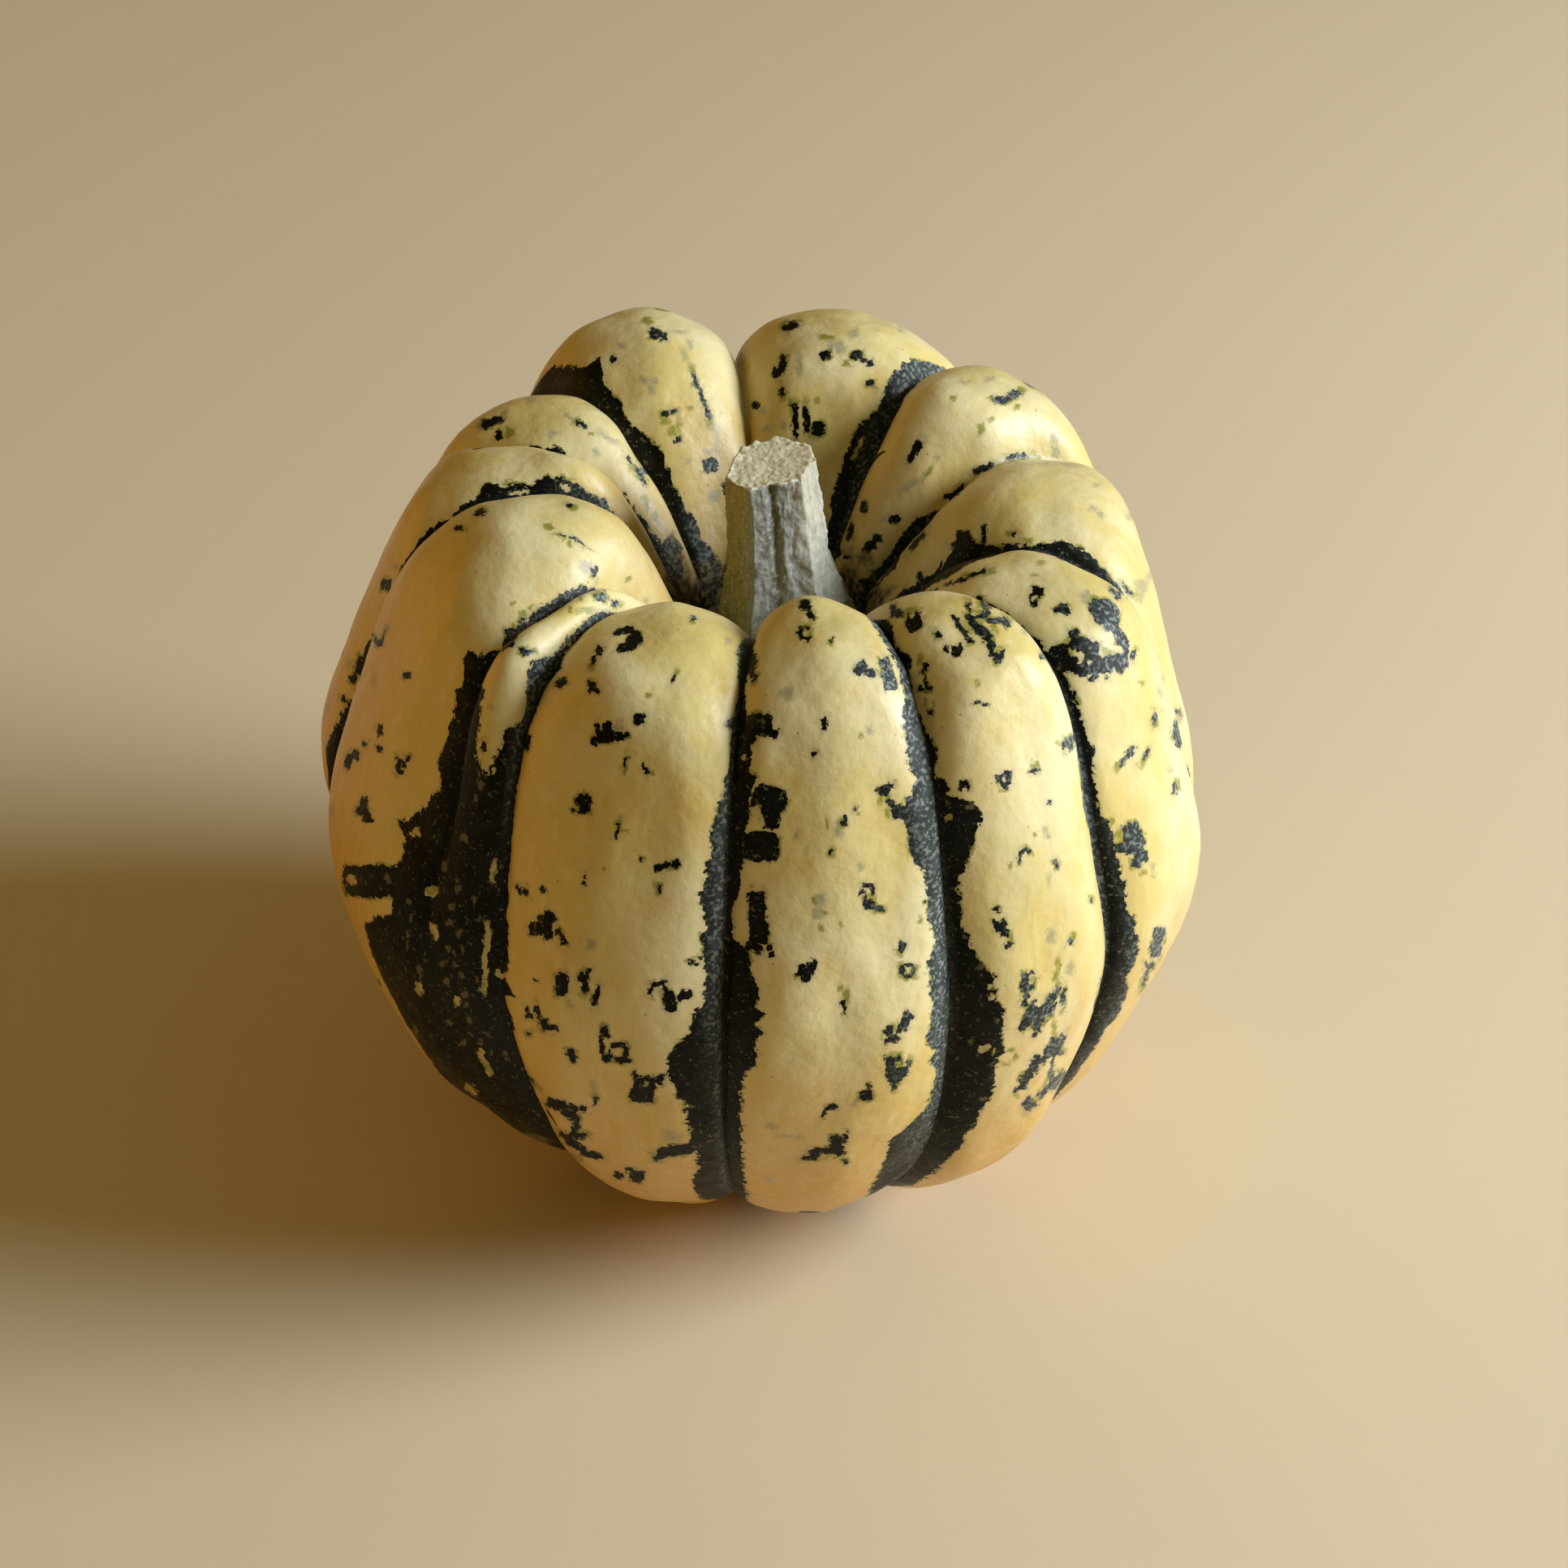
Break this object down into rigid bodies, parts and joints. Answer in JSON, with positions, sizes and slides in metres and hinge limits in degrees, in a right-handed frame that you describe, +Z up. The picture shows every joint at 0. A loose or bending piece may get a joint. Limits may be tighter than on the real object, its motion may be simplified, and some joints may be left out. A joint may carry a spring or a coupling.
{
  "type": "sweet dumpling squash",
  "caption": "Small teacup-shaped ribbed winter squash with a deep crater round its dry, five-angled stem; cream skin with dark green stripes and flecks; stands on a flat spot.",
  "frame": {"origin": "middle of the object's footprint box, on the surface it rests on", "axes": "+Z up along the stem, -Y towards the side that the picture shows, +X to its right"},
  "size_m": [0.105, 0.1073, 0.093],
  "materials": {
    "skin": null,
    "stem": "dry, matt, corky and fibrous, grey-brown with a pale cut face"
  },
  "bodies": {
    "root": {"fruit": "skin", "stem": "stem"}
  },
  "joints": []
}
